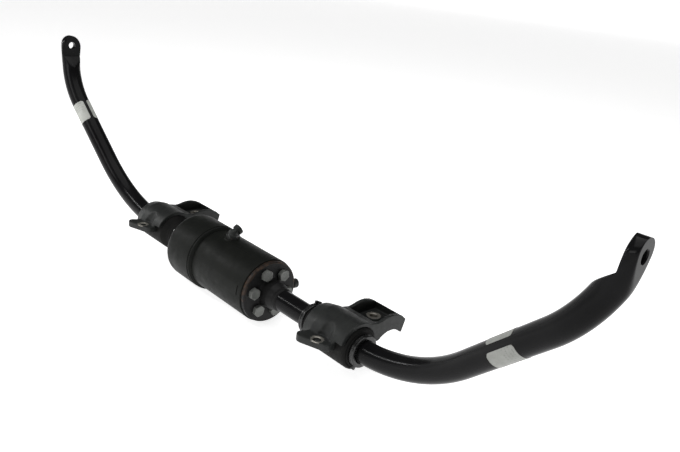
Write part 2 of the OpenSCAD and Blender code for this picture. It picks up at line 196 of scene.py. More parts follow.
def combine(ob, other, operation="DIFFERENCE", sharp=38):
    """Cuts the other solid from the piece, or joins it on, then removes it."""
    mod = ob.modifiers.new("combine", "BOOLEAN")
    mod.operation = operation
    mod.solver = "EXACT"
    mod.object = other
    apply_modifiers(ob, sharp)
    bpy.data.objects.remove(other)


def rounded(points, steps=5):
    """An outline from (x, y, corner radius) points, with each corner turned into an arc."""
    out = []
    count = len(points)
    for i, (x, y, radius) in enumerate(points):
        here = Vector((x, y))
        before = Vector(points[i - 1][:2]) - here
        after = Vector(points[(i + 1) % count][:2]) - here
        if radius <= 0:
            out.append(here)
            continue
        half = before.angle(after) / 2
        reach = min(radius / math.tan(half), before.length * 0.49, after.length * 0.49)
        radius = reach * math.tan(half)
        start, end = here + before.normalized() * reach, here + after.normalized() * reach
        centre = here + (before.normalized() + after.normalized()).normalized() * (
            radius / math.sin(half))
        a, b = start - centre, end - centre
        sweep = a.angle_signed(b)
        for k in range(steps + 1):
            out.append(centre + Matrix.Rotation(-sweep * k / steps, 2) @ a)
    return out


def lathe(profile, place=Matrix.Identity(4), segments=128):
    """Vertices and faces of a closed (x, radius) outline turned about the local X axis."""
    verts, faces = [], []
    count = len(profile)
    for s in range(segments):
        a = 2 * math.pi * s / segments
        for x, r in profile:
            verts.append(place @ Vector((x, r * math.sin(a), r * math.cos(a))))
    for s in range(segments):
        for i in range(count):
            j, t = (i + 1) % count, (s + 1) % segments
            faces.append((s * count + i, t * count + i, t * count + j, s * count + j))
    return verts, faces


def axis_place(x=0.0, mirror=False):
    """Local X axis on the bar axis."""
    place = Matrix.Translation((x, JOINT_Y, 0))
    return place @ Matrix.Diagonal((-1, 1, 1, 1)) if mirror else place


def flip(faces):
    return [tuple(reversed(f)) for f in faces]


def turned(name, points, body, material, nodes=(), mirror=False, segments=128, sharp=30):
    """A turned piece from its (x, radius, corner radius) outline."""
    place = axis_place(mirror=mirror)
    verts, faces = lathe(rounded(points), place, segments)
    if place.determinant() < 0:
        faces = flip(faces)
    ob = add_piece(name, verts, faces, body, material, nodes, sharp)
    fix_normals(ob.data)
    return ob


def tool(points, place, segments=48):
    """A turned solid for combine()."""
    verts, faces = lathe(rounded(points), place, segments)
    mesh = bpy.data.meshes.new("tool")
    mesh.from_pydata([Vector(v) * MM for v in verts], [], faces)
    fix_normals(mesh)
    ob = bpy.data.objects.new("tool", mesh)
    scene.collection.objects.link(ob)
    return ob


def scaled(place):
    """The same place with its offset turned from millimetres into metres."""
    return Matrix.Translation(place.translation * MM) @ place.to_3x3().to_4x4()


def rounded_box(low, high, radius):
    """A box with bevelled edges, as a tool for combine()."""
    bm = bmesh.new()
    bmesh.ops.create_cube(bm, size=1)
    for v in bm.verts:
        v.co = Vector([MM * (a if c < 0 else b) for c, a, b in zip(v.co, low, high)])
    bmesh.ops.bevel(bm, geom=bm.edges[:], offset=radius * MM, segments=3, profile=0.5,
                    affect="EDGES")
    mesh = bpy.data.meshes.new("tool")
    bm.to_mesh(mesh)
    bm.free()
    fix_normals(mesh)
    ob = bpy.data.objects.new("tool", mesh)
    scene.collection.objects.link(ob)
    return ob


def bolt_place(index):
    """Local X axis on one of the flange bolts."""
    a = math.radians(BOLT_PHASE + 360 / BOLT_COUNT * index)
    r = BOLT_PCD / 2
    return axis_place() @ Matrix.Translation((0, r * math.sin(a), r * math.cos(a)))


def around_x(x, degrees):
    """Local X axis pointing outwards from the bar axis, turned from the top towards +Y."""
    return axis_place(x) @ rot_x(-degrees).to_4x4() @ Matrix.Rotation(math.radians(-90), 4, "Y")


def fix_normals(mesh):
    """Welds doubled points and turns every face outwards."""
    bm = bmesh.new()
    bm.from_mesh(mesh)
    bmesh.ops.remove_doubles(bm, verts=bm.verts, dist=1e-8)
    bmesh.ops.dissolve_degenerate(bm, edges=bm.edges, dist=1e-8)
    bmesh.ops.recalc_face_normals(bm, faces=bm.faces)
    bm.to_mesh(mesh)
    bm.free()


def copy_node(name, node, material):
    """A welded copy of a CAD node that stands in for it and can be reshaped."""
    source = frame["nodes"][node]
    mesh = source.data.copy()
    bm = bmesh.new()
    bm.from_mesh(mesh)
    bmesh.ops.remove_doubles(bm, verts=bm.verts, dist=2e-6)
    bm.to_mesh(mesh)
    bm.free()
    ob = bpy.data.objects.new(name, mesh)
    scene.collection.objects.link(ob)
    mesh.materials.clear()
    mesh.materials.append(material)
    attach(ob, source["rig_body"])
    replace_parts(ob, node)
    return ob


def cast_skin(ob, voxel, rounds, keep):
    """Rounds every edge of a piece the way a casting's are, and thins the mesh again."""
    remesh = ob.modifiers.new("remesh", "REMESH")
    remesh.mode = "VOXEL"
    remesh.voxel_size = voxel * MM
    smooth = ob.modifiers.new("smooth", "SMOOTH")
    smooth.factor = 0.5
    smooth.iterations = rounds
    thin = ob.modifiers.new("thin", "DECIMATE")
    thin.ratio = keep
    apply_modifiers(ob, 60)


# ---- materials ----

class Nodes:
    """Short ways to add and join shader nodes."""

    def __init__(self, name):
        self.mat = bpy.data.materials.new(name)
        self.mat.use_nodes = True
        self.tree = self.mat.node_tree
        self.bsdf = self.tree.nodes["Principled BSDF"]
        self.coords = self.tree.nodes.new("ShaderNodeTexCoord").outputs["Object"]

    def link(self, a, b):
        self.tree.links.new(a, b)

    def noise(self, scale, detail=4.0, rough=0.55, coords=None, stretch=None):
        n = self.tree.nodes.new("ShaderNodeTexNoise")
        n.inputs["Scale"].default_value = scale
        n.inputs["Detail"].default_value = detail
        n.inputs["Roughness"].default_value = rough
        source = coords or self.coords
        if stretch:
            m = self.tree.nodes.new("ShaderNodeMapping")
            m.inputs["Scale"].default_value = stretch
            self.link(source, m.inputs["Vector"])
            source = m.outputs["Vector"]
        self.link(source, n.inputs["Vector"])
        return n.outputs["Fac"]

    def ramp(self, fac, stops):
        r = self.tree.nodes.new("ShaderNodeValToRGB")
        ramp = r.color_ramp
        while len(ramp.elements) < len(stops):
            ramp.elements.new(0.5)
        for e, (at, value) in zip(ramp.elements, stops):
            e.position = at
            e.color = (*value, 1) if isinstance(value, tuple) else (value, value, value, 1)
        self.link(fac, r.inputs["Fac"])
        return r.outputs["Color"]

    def math(self, op, a, b=0.0):
        m = self.tree.nodes.new("ShaderNodeMath")
        m.operation = op
        for socket, value in zip(m.inputs, (a, b)):
            if isinstance(value, (int, float)):
                socket.default_value = value
            else:
                self.link(value, socket)
        return m.outputs["Value"]

    def mix(self, fac, a, b):
        m = self.tree.nodes.new("ShaderNodeMix")
        m.data_type = "RGBA"
        for name, value in (("Factor", fac), ("A", a), ("B", b)):
            socket = next(s for s in m.inputs if s.name == name and s.enabled)
            if isinstance(value, bpy.types.NodeSocket):
                self.link(value, socket)
            elif name == "Factor":
                socket.default_value = value
            else:
                socket.default_value = (*value, 1)
        return next(s for s in m.outputs if s.enabled)

    def axes(self, vector=None):
        s = self.tree.nodes.new("ShaderNodeSeparateXYZ")
        self.link(vector or self.coords, s.inputs["Vector"])
        return s.outputs["X"], s.outputs["Y"], s.outputs["Z"]

    def near_bolt(self, bolt_y, radius, edge):
        """Patchy mask round the clamp bolts at one y; sizes in metres."""
        x, y, z = self.axes()
        dx = self.math("SUBTRACT", self.math("ABSOLUTE", x), CLAMP_BOLT_X)
        dy = self.math("SUBTRACT", y, bolt_y)
        far = self.math("SQRT", self.math("ADD", self.math("MULTIPLY", dx, dx),
                                          self.math("MULTIPLY", dy, dy)))
        wander = 0.006
        ragged = self.math("ADD", far, self.math("MULTIPLY", self.noise(330, 4), wander))
        inside = self.math("DIVIDE", self.math("SUBTRACT", radius + wander / 2, ragged), edge)
        mask = self.math("MINIMUM", self.math("MAXIMUM", inside, 0.0), 1.0)
        lowest = 0.0085                             # just under the seats of the bolt heads
        return self.math("MULTIPLY", mask, self.math("GREATER_THAN", z, lowest))

    def bump(self, height, strength, distance, normal=None):
        b = self.tree.nodes.new("ShaderNodeBump")
        b.inputs["Strength"].default_value = strength
        b.inputs["Distance"].default_value = distance
        self.link(height, b.inputs["Height"])
        if normal is not None:
            self.link(normal, b.inputs["Normal"])
        return b.outputs["Normal"]

    def colour(self, value):
        self.link(value, self.bsdf.inputs["Base Color"])

    def rough(self, value):
        if isinstance(value, float):
            self.bsdf.inputs["Roughness"].default_value = value
        else:
            self.link(value, self.bsdf.inputs["Roughness"])

    def normal(self, value):
        self.link(value, self.bsdf.inputs["Normal"])

    def set(self, **values):
        for key, value in values.items():
            self.bsdf.inputs[key.replace("_", " ")].default_value = value


def bar_paint():
    """Gloss black powder coat: slight orange peel, a little dust in the gloss."""
    n = Nodes("bar_paint")
    n.colour(n.ramp(n.noise(18), [(0.3, (0.0045, 0.0045, 0.0048)),
                                  (0.75, (0.009, 0.009, 0.0095))]))
    n.rough(n.ramp(n.noise(60, 5), [(0.3, 0.13), (0.8, 0.24)]))
    n.normal(n.bump(n.noise(300, 2), 0.03, 0.0003))
    n.set(Specular_IOR_Level=0.085)
    return n.mat


def housing_paint():
    """Satin black paint over a turned housing, with faint grey-green dust."""
    n = Nodes("housing_paint")
    patches = n.noise(22, 6, 0.6)
    n.colour(n.ramp(patches, [(0.3, (0.0045, 0.0052, 0.0043)), (0.62, (0.0080, 0.0090, 0.0075)),
                              (0.85, (0.014, 0.0155, 0.013))]))
    n.rough(n.ramp(n.noise(90, 5), [(0.3, 0.42), (0.75, 0.6)]))
    n.set(Specular_IOR_Level=0.1)
    fine = n.bump(n.noise(1500, 3), 0.25, 0.0002)
    n.normal(n.bump(n.noise(160, 3), 0.12, 0.0006, fine))
    return n.mat


def cast_paint(name="cast_paint", worn=True):
    """Thin black coat over a sand casting: grainy, greyer in random patches, and when worn
    rubbed to bare metal round the clamp bolts."""
    n = Nodes(name)
    coat = n.ramp(n.noise(55, 6, 0.62), [(0.3, (0.008, 0.009, 0.0085)),
                                         (0.7, (0.016, 0.018, 0.0165)),
                                         (0.9, (0.032, 0.035, 0.032))])
    rough = n.ramp(n.noise(120, 4), [(0.3, 0.40), (0.8, 0.58)])
    if worn:
        bare = n.math("MAXIMUM", n.near_bolt(-CLAMP_BOLT_Y, 0.0095, 0.0015),
                      n.near_bolt(CLAMP_BOLT_Y, 0.0105, 0.001))
        coat = n.mix(bare, coat, (0.33, 0.315, 0.28))
        rough = n.mix(bare, rough, (0.32, 0.32, 0.32))
        n.link(n.math("MULTIPLY", bare, 0.85), n.bsdf.inputs["Metallic"])
    n.colour(coat)
    n.rough(rough)
    grain = n.bump(n.noise(1100, 4), 0.35, 0.0003)
    n.normal(n.bump(n.noise(240, 3), 0.2, 0.0008, grain))
    n.set(Specular_IOR_Level=0.3)
    return n.mat


def collar_paint():
    """Dipped gloss black over a stamped steel ring."""
    n = Nodes("collar_paint")
    n.colour(n.ramp(n.noise(50), [(0.3, (0.005, 0.005, 0.0055)), (0.8, (0.011, 0.011, 0.011))]))
    n.rough(n.ramp(n.noise(180, 4), [(0.3, 0.2), (0.8, 0.36)]))
    n.normal(n.bump(n.noise(600, 2), 0.12, 0.0003))
    return n.mat


def flange_paint():
    """Black paint thinned to rust brown in places on the rim of the flange."""
    n = Nodes("flange_paint")
    _, y, z = n.axes()
    dy = n.math("SUBTRACT", y, JOINT_Y * MM)
    out = n.math("SQRT", n.math("ADD", n.math("MULTIPLY", dy, dy), n.math("MULTIPLY", z, z)))
    rim_r, rim_bottom = 0.0452, -0.005
    rim = n.math("MULTIPLY", n.math("GREATER_THAN", out, rim_r),
                 n.math("GREATER_THAN", z, rim_bottom))
    rust = n.math("MULTIPLY", rim, n.ramp(n.noise(90, 7, 0.65), [(0.40, 0.0), (0.62, 1.0)]))
    n.colour(n.mix(rust, n.ramp(n.noise(40, 4), [(0.3, (0.006, 0.006, 0.006)),
                                                 (0.8, (0.012, 0.012, 0.012))]),
                   (0.052, 0.031, 0.02)))
    n.rough(n.ramp(n.noise(90, 5), [(0.3, 0.34), (0.75, 0.58)]))
    n.normal(n.bump(n.noise(900, 4), 0.3, 0.0003))
    n.set(Specular_IOR_Level=0.15)
    return n.mat


def rubber():
    """Matt moulded rubber with a dry bloom."""
    n = Nodes("rubber")
    n.colour(n.ramp(n.noise(35, 5), [(0.3, (0.006, 0.006, 0.006)), (0.8, (0.014, 0.014, 0.013))]))
    n.rough(n.ramp(n.noise(140, 3), [(0.3, 0.55), (0.8, 0.75)]))
    n.normal(n.bump(n.noise(1300, 3), 0.25, 0.0002))
    n.set(Specular_IOR_Level=0.08)
    return n.mat


def bolt_steel():
    """Zinc flake coating: dull pale grey with a fine speckle."""
    n = Nodes("bolt_steel")
    n.colour(n.ramp(n.noise(900, 3), [(0.3, (0.11, 0.115, 0.108)), (0.8, (0.19, 0.195, 0.183))]))
    n.rough(n.ramp(n.noise(300, 4), [(0.3, 0.42), (0.8, 0.6)]))
    n.normal(n.bump(n.noise(1800, 3), 0.2, 0.0002))
    n.set(Metallic=0.35)
    return n.mat


def label_paper(name="label_paper", light=1.0):
    """Pale paper band with rows of plain grey dashes and a little grime; light below 1 darkens
    the paper to paint shade on it.
    The UV map runs along the arm and round it."""
    n = Nodes(name)
    uv = n.tree.nodes.new("ShaderNodeUVMap").outputs["UV"]
    along = n.axes(uv)[0]
    rows, row_height = 9.0, 0.42
    row = n.math("LESS_THAN", n.math("FRACT", n.math("MULTIPLY", along, rows)), row_height)
    dash = n.math("GREATER_THAN", n.noise(26, 1, 0.4, coords=uv, stretch=(0.35, 3.2, 1)), 0.53)
    print_start, print_end = 0.52, 0.93
    field = n.math("MULTIPLY", n.math("GREATER_THAN", along, print_start),
                   n.math("LESS_THAN", along, print_end))
    ink = n.math("MULTIPLY", n.math("MULTIPLY", row, dash), field)
    dark, pale = (0.37, 0.38, 0.35), (0.50, 0.51, 0.48)
    paper = n.ramp(n.noise(90, 5), [(0.3, tuple(light * c for c in dark)),
                                    (0.75, tuple(light * c for c in pale))])
    n.colour(n.mix(n.math("MULTIPLY", ink, 0.6), paper, (0.16, 0.165, 0.155)))
    n.rough(n.ramp(n.noise(200, 3), [(0.3, 0.4), (0.8, 0.6)]))
    n.normal(n.bump(n.noise(160, 3), 0.15, 0.0004))
    return n.mat


def worn_steel():
    """Bare bright steel where bolts and mating parts rub."""
    n = Nodes("worn_steel")
    n.colour(n.ramp(n.noise(240, 5), [(0.3, (0.30, 0.29, 0.26)), (0.75, (0.62, 0.61, 0.57))]))
    n.rough(n.ramp(n.noise(500, 4), [(0.3, 0.22), (0.8, 0.42)]))
    n.normal(n.bump(n.noise(1400, 3), 0.3, 0.0002))
    n.set(Metallic=1.0)
    return n.mat


def turned_metal(name, dark, pale, rough):
    """Machined metal with fine turning lines across X."""
    n = Nodes(name)
    lines = n.noise(60, 3, 0.5, stretch=(60, 1, 1))
    n.colour(n.ramp(lines, [(0.3, dark), (0.75, pale)]))
    n.rough(n.ramp(n.noise(200, 4), [(0.3, rough - 0.06), (0.8, rough + 0.1)]))
    n.normal(n.bump(lines, 0.15, 0.0002))
    n.set(Metallic=1.0)
    return n.mat


def overpainted_copper():
    """Copper sealing washer that was painted over with the actuator."""
    n = Nodes("copper")
    chip = n.ramp(n.noise(420, 5, 0.6), [(0.60, 0.0), (0.70, 1.0)])
    n.colour(n.mix(chip, (0.010, 0.0105, 0.010), (0.20, 0.10, 0.05)))
    n.rough(n.ramp(n.noise(200, 4), [(0.3, 0.35), (0.8, 0.55)]))
    n.normal(n.bump(n.noise(900, 3), 0.2, 0.0002))
    return n.mat


def dark_polymer(name, pale):
    """Moulded seal material."""
    n = Nodes(name)
    n.colour(n.ramp(n.noise(120, 4), [(0.3, tuple(0.5 * c for c in pale)), (0.8, pale)]))
    n.rough(n.ramp(n.noise(260, 3), [(0.3, 0.4), (0.8, 0.6)]))
    n.normal(n.bump(n.noise(1500, 2), 0.15, 0.0002))
    return n.mat


MAT = {
    "bar_paint": bar_paint(),
    "housing_black": housing_paint(),
    "cast_black": cast_paint(),
    "flange": flange_paint(),
    "rubber": rubber(),
    "bolt_steel": bolt_steel(),
    "worn_steel": worn_steel(),
    "machined_steel": turned_metal("machined_steel", (0.42, 0.43, 0.44),
                                   (0.62, 0.63, 0.64), 0.3),
    "bearing_bronze": turned_metal("bearing_bronze", (0.45, 0.31, 0.13),
                                   (0.66, 0.48, 0.24), 0.32),
    "copper": overpainted_copper(),
    "stator_iron": turned_metal("stator_iron", (0.16, 0.17, 0.18), (0.28, 0.29, 0.30), 0.42),
    "seal_rubber": dark_polymer("seal_rubber", (0.02, 0.02, 0.02)),
    "seal_plastic": dark_polymer("seal_plastic", (0.07, 0.10, 0.085)),
    "label_paper": label_paper(),
    # painted shade: the same label paper darkened to 0.62, standing in for less light on the
    # right label
    "painted_shade_label": label_paper("painted_shade_label", 0.62),
    "port_black": cast_paint("port_paint", worn=False),
    "collar_black": collar_paint(),
}


# ---- bar halves ----

def arm_frames():
    """Places along the right arm: (position, frame, roll so far) from the first bend to
    past the eye, in the bar axis' own frame. A frame's columns are along, aside and up."""
    bend_1_steps, mid_steps, bend_2_steps, eye_steps = 56, 24, 60, 36
    stations = []
    at, turn, roll = Vector((BEND_X, 0, 0)), rot_x(ARM_LEAN), 0.0

    def bend(radius, angle, steps):
        for k in range(steps):
            a = angle * k / steps
            stations.append((at + turn @ bend_offset(radius, a), turn @ rise(a), roll))
        return at + turn @ bend_offset(radius, angle), turn @ rise(angle)

    at, turn = bend(*BEND_1, bend_1_steps)
    for k in range(mid_steps):
        stations.append((at + turn.col[0] * (MID_LEN * k / mid_steps), turn.copy(), roll))
    at = at + turn.col[0] * MID_LEN
    turn, roll = turn @ rot_x(ARM_ROLL), ARM_ROLL
    at, turn = bend(*BEND_2, bend_2_steps)
    ahead = turn.col[0].copy()
    tip_gap = 0.02                                  # keeps the last ring from closing up
    reach = EYE_LEN + (EYE_R - tip_gap) / math.hypot(ahead.y, ahead.z)
    for k in range(eye_steps):
        eased = math.sin(math.pi / 2 * k / (eye_steps - 1))
        stations.append((at + ahead * (reach * eased), turn.copy(), roll))
    return stations, at + ahead * EYE_LEN, ahead


def eye_section(point, centre, frame_eye):
    """Moves a point of the round bar onto the flattened eye."""
    p = frame_eye.transposed() @ (point - centre)
    half, blend = EYE_T / 2, 3.0
    x = soft_min(p.x, half, blend)
    shoulder = -half - SHOULDER_SLOPE * max(0.0, SHOULDER_FROM - p.z)
    x = -soft_min(-x, -shoulder, blend)
    widen = smooth_step((p.z - WIDEN_FROM) / WIDEN_LEN)
    half_width = BAR_R + (EYE_R - BAR_R) * widen
    y = p.y * half_width / BAR_R
    if p.z > 0:
        limit = math.sqrt(max(EYE_R ** 2 - p.z ** 2, 0.0))
        y = p.y / BAR_R * limit
    return centre + frame_eye @ Vector((x, y, p.z))


def bar_mesh(x_inner):
    """Vertices and faces of a right bar half from x_inner to the end of its eye, and the
    middle of the eye."""
    around, straight_steps = BAR_AROUND, 40
    stations, eye, ahead = arm_frames()
    tilt = math.atan2(ahead.y, ahead.z)
    frame_eye = rot_x(-math.degrees(tilt))
    straight = BEND_X - x_inner
    start = [(Vector((x_inner + straight * k / straight_steps, 0, 0)), rot_x(0), 0.0)
             for k in range(straight_steps)]
    rings = []
    for at, turn, roll in start + stations:
        height = (frame_eye.transposed() @ (at - eye)).z
        level = smooth_step((height - FLATTEN_FROM) / FLATTEN_LEN)
        ring = []
        for s in range(around):
            a = 2 * math.pi * s / around - math.radians(roll)
            side, up = BAR_R * math.cos(a), BAR_R * math.sin(a)
            p = at + turn @ Vector((0, side, up))
            if level > 0:
                local = frame_eye.transposed() @ (p - at)
                along = frame_eye.transposed() @ turn.col[0]
                p = p - turn.col[0] * (level * local.z / along.z)
            if height > EYE_FROM:
                p = eye_section(p, eye, frame_eye)
            ring.append(p)
        rings.append(ring)
    verts = [p + Vector((0, JOINT_Y, 0)) for ring in rings for p in ring]
    faces = []
    for r in range(len(rings) - 1):
        for s in range(around):
            t = (s + 1) % around
            faces.append((r * around + s, (r + 1) * around + s,
                          (r + 1) * around + t, r * around + t))
    faces.append(tuple(range(around)))
    last = (len(rings) - 1) * around
    faces.append(tuple(reversed(range(last, last + around))))
    return verts, faces, eye + Vector((0, JOINT_Y, 0))


def build_bar(name, node, body, x_inner, mirror):
    """A bar half with its drilled and countersunk eye."""
    verts, faces, eye = bar_mesh(x_inner)
    if mirror:
        verts = [Vector((-v.x, v.y, v.z)) for v in verts]
        eye = Vector((-eye.x, eye.y, eye.z))
        faces = flip(faces)
    ob = add_piece(name, verts, faces, body, MAT["bar_paint"], (node,))
    fix_normals(ob.data)
    inner, outer = EYE_T / 2 - EYE_CHAMFER, 20
    wide = EYE_HOLE_R + outer - inner
    outline = [(-outer, 0.01, 0), (-outer, wide, 0), (-inner, EYE_HOLE_R, 0.8),
               (inner, EYE_HOLE_R, 0.8), (outer, wide, 0), (outer, 0.01, 0)]
    combine(ob, tool(outline, Matrix.Translation(eye), 64), sharp=34)


build_bar("right_bar", "bar_right", BODY_RIGHT, 72.0, False)
build_bar("left_bar", "bar_left", BODY_LEFT, 96.0, True)


def splined_end():
    """Toothed end of the left bar half, inside the rotor."""
    teeth, root, crest = 26, 13.6, 14.95
    ring = []
    for i in range(teeth):
        for part, r in ((0.0, root), (0.22, root), (0.38, crest), (0.72, crest), (0.88, root)):
            ring.append((2 * math.pi * (i + part) / teeth, r))
    levels = [(-96.5, 0.0), (-94.0, 1.0), (-30.5, 1.0), (-28.5, 0.0)]
    end_r = root - 0.6                              # the teeth run out at both ends
    verts, faces, n = [], [], len(ring)
    for x, grown in levels:
        for a, r in ring:
            r = end_r + (r - end_r) * grown
            verts.append((x, JOINT_Y + r * math.sin(a), r * math.cos(a)))
    for k in range(len(levels) - 1):
        for i in range(n):
            j = (i + 1) % n
            faces.append((k * n + i, k * n + j, (k + 1) * n + j, (k + 1) * n + i))
    faces.append(tuple(range(n)))
    faces.append(tuple(reversed(range((len(levels) - 1) * n, len(levels) * n))))
    ob = add_piece("left_bar_spline", verts, faces, BODY_LEFT, MAT["machined_steel"],
                   sharp=25)
    fix_normals(ob.data)


splined_end()

# ---- clamps, bushes, collars and labels ----

for side in ("left", "right"):
    clamp = copy_node(f"{side}_clamp_casting", f"clamp_{side}", MAT["cast_black"])
    cast_skin(clamp, 0.8, 7, 0.35)


def collar(side, end, tab_angle):
    """Stop collar: a grooved ring with the folded ear of its clip."""
    node = f"stop_collar_{side}_{end}"
    low, high = (v.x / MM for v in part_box(node))
    points = [(low, BAR_R + 0.7, 0.6), (low, COLLAR_R, 1.4), (low + 2.6, COLLAR_R, 0.4),
              (low + 3.1, COLLAR_R - 0.8, 0.4), (high - 3.1, COLLAR_R - 0.8, 0.4),
              (high - 2.6, COLLAR_R, 0.4), (high, COLLAR_R, 1.4), (high, BAR_R + 0.7, 0.6)]
    ob = turned(f"{side}_{end}_collar", points, f"{side}_half", MAT["collar_black"],
                (node,))
    middle = (low + high) / 2
    for k in (-1, 1):
        ear = rounded_box((-1.7, -2.75, COLLAR_R - 3), (1.7, 2.75, COLLAR_R + 4.6), 0.8)
        turn = rot_x(-tab_angle - 5 * k).to_4x4()
        ear.matrix_world = scaled(axis_place(middle + 1.1 * k) @ turn)
        combine(ob, ear, "UNION", 34)


def bush(side):
    """Rubber bush: a waist with two ribs towards the actuator, a lip round each end of
    the clamp's seat, and a bulging outer face."""
    x0, x1 = BUSH_X
    bore = BAR_R + 0.05
    points = [(x0, bore + 0.6, 0.4), (x0, 21.0, 1.2), (x0 + 4, 22.4, 1.5), (x0 + 7, 21.6, 1.5),
              (x0 + 11, 23.2, 2), (x0 + 16, 27.2, 3), (x0 + 20, SEAT_R, 2),
              (x1 - 5.5, SEAT_R, 1.2), (x1 - 3, 29.3, 1.0), (x1 - 1.2, 27.2, 1.5),
              (x1 - 1.6, 24.8, 0.8),
              (x1 - 0.2, 23.4, 1.0), (x1, 21.0, 1.2), (x1 - 0.6, bore + 1.1, 0.5),
              (x1 - 9, bore, 0)]
    ob = turned(f"{side}_bush", points, f"{side}_clamp", MAT["rubber"],
                (f"bush_{side}",), mirror=side == "left", sharp=50)
    under = rounded_box((-x1 - 9, -40, -40), (x1 + 9, 40, BUSH_FLAT_Z), 0.01)
    under.matrix_world = scaled(axis_place())
    combine(ob, under, sharp=50)


bush("left")
bush("right")
collar("left", "inner", 25)
collar("left", "outer", 25)
collar("right", "inner", 20)
collar("right", "outer", 215)


def label(side, body, s0, a0, a1, paper):
    """Paper band with rounded corners on the straight of an arm, which starts s0 along it
    and goes round from a0 to a1 degrees, measured from the top towards +Y."""
    origin = Vector((BEND_X, 0, 0)) + rot_x(ARM_LEAN) @ bend_offset(*BEND_1)
    turn = rot_x(ARM_LEAN) @ rise(BEND_1[1])
    rows, columns, corner = 24, 96, 3.5
    sign = -1 if side == "left" else 1
    verts, uvs = [], []
    for r in (BAR_R + skin for skin in LABEL_SKIN):
        for i in range(rows + 1):
            for j in range(columns + 1):
                u, v = i / rows, j / columns
                edge = min(u, 1 - u) * LABEL_LEN
                inset = corner - math.sqrt(max(corner ** 2 - max(corner - edge, 0) ** 2, 0))
                pull = math.degrees(inset / BAR_R)
                a = math.radians(a0 + pull + (a1 - a0 - 2 * pull) * v)
                local = Vector((s0 + LABEL_LEN * u, r * math.sin(a), r * math.cos(a)))
                at = origin + turn @ local
                verts.append((sign * at.x, at.y + JOINT_Y, at.z))
                uvs.append((u, v))
    wide, layer = columns + 1, (rows + 1) * (columns + 1)
    faces = []
    for top in (0, layer):
        for i in range(rows):
            for j in range(columns):
                a = top + i * wide + j
                quad = (a, a + 1, a + wide + 1, a + wide)
                faces.append(quad if top else quad[::-1])
    rim = ([j for j in range(columns)] + [i * wide + columns for i in range(rows)]
           + [rows * wide + j for j in range(columns, 0, -1)]
           + [i * wide for i in range(rows, 0, -1)])
    for k, a in enumerate(rim):
        b = rim[(k + 1) % len(rim)]
        faces.append((a, b, b + layer, a + layer))
    ob = add_piece(f"{side}_label", verts, faces, body, MAT[paper],
                   (f"label_{side}",), sharp=50)
    uv = ob.data.uv_layers.new(name="label")
    for loop in ob.data.loops:
        uv.data[loop.index].uv = uvs[loop.vertex_index]
    fix_normals(ob.data)


# the right label takes the darkened copy of the paper, painted shade rather than its own colour
label("right", BODY_RIGHT, 50, -39, 288, "painted_shade_label")
label("left", BODY_LEFT, 83, 16, 353, "label_paper")

# ---- actuator ----

def drill(ob, r, low, high, place, segments=48):
    """A round hole from low to high along the place's X axis."""
    outline = [(low, 0, 0), (low, r, 0), (high, r, 0), (high, 0, 0)]
    combine(ob, tool(outline, place, segments), sharp=CUT_SHARP)


def actuator_body():
    """Working cylinder with its spigot, seal grooves, port bosses and threaded holes."""
    points = [(-84, 38, 0.5), (-84, 46, 0.8), (-77.5, 46, 0.2), (-77.5, 43.1, 0.3),
              (-74.5, 43.1, 0.3), (-74.5, 46, 0.2), (-62, 46, 0.2), (-62, BODY_R, 0.5),
              (BODY_X1, BODY_R, 1.3), (BODY_X1, 44.1, 0.2), (63.1, 44.1, 0.3), (63.1, 41.1, 0.3),
              (BODY_X1, 41.1, 0.2), (BODY_X1, 24, 0.5), (40, 24, 0.5), (40, 38, 0.5)]
    ob = turned("actuator_cylinder", points, BODY_RIGHT, MAT["housing_black"],
                ("actuator_body",), segments=TURNED_AROUND)
    elbow, fitting = around_x(ELBOW_X, 0), around_x(FITTING_X, FITTING_TILT)
    boss = [(40, 0, 0), (40, 14.5, 0), (46.5, 14.5, 0), (48.6, 12.4, 2.5), (50.5, 12, 0.5),
            (50.5, 0, 0)]
    combine(ob, tool(boss, elbow), "UNION", CUT_SHARP)
    boss = [(42, 0, 0), (42, 11.5, 0), (47.5, 11.5, 0), (49.4, 9.4, 2), (51, 9, 0.4), (51, 0, 0)]
    combine(ob, tool(boss, fitting), "UNION", CUT_SHARP)
    outside = 60
    for r, low, place in ((6.5, 44.5, elbow), (4, 30, elbow), (5, 40.5, fitting)):
        drill(ob, r, low, outside, place)
    thread_floor, past_face = 48, 70
    for i in range(BOLT_COUNT):
        drill(ob, BOLT_R, thread_floor, past_face, bolt_place(i))
    # short witness slot at the flange end, facing forward, milled in overlapping steps
    slot_x, slot_angle, slot_step, slot_depth, slot_r = 57, -74, 2.4, 0.7, 1.6
    for step in range(7):
        place = (around_x(slot_x, slot_angle - slot_step * step)
                 @ Matrix.Translation((BODY_R - slot_depth, 0, 0)))
        drill(ob, slot_r, 0.0, 4, place, 16)


def end_housing():
    """Hollow end housing: round left edge, and a groove and bead at the joint."""
    points = [(END_X0, 24, 0.8), (END_X0, END_R, 12), (JOINT_X - 4, END_R, 0.9),
              (JOINT_X - 3.2, END_R - 1.2, 0.5), (JOINT_X - 1.6, END_R - 1.2, 0.5),
              (JOINT_X - 0.8, END_R - 0.1, 0.9), (JOINT_X + 1.4, END_R - 0.6, 1.4),
              (JOINT_X + 3.9, BODY_R + 0.2, 0.4), (JOINT_X + 3.9, 46.02, 0.2),
              (-84.05, 46.02, 0.2), (-84.05, 30, 0.3), (-100, 30, 0.4), (-100, 24, 0.4),
              (-125.5, 24, 0), (-125.5, 25.5, 0), (-127, 25.5, 0), (-127, 24, 0)]
    turned("end_housing_shell", points, BODY_RIGHT, MAT["housing_black"],
           ("end_housing",), segments=TURNED_AROUND)


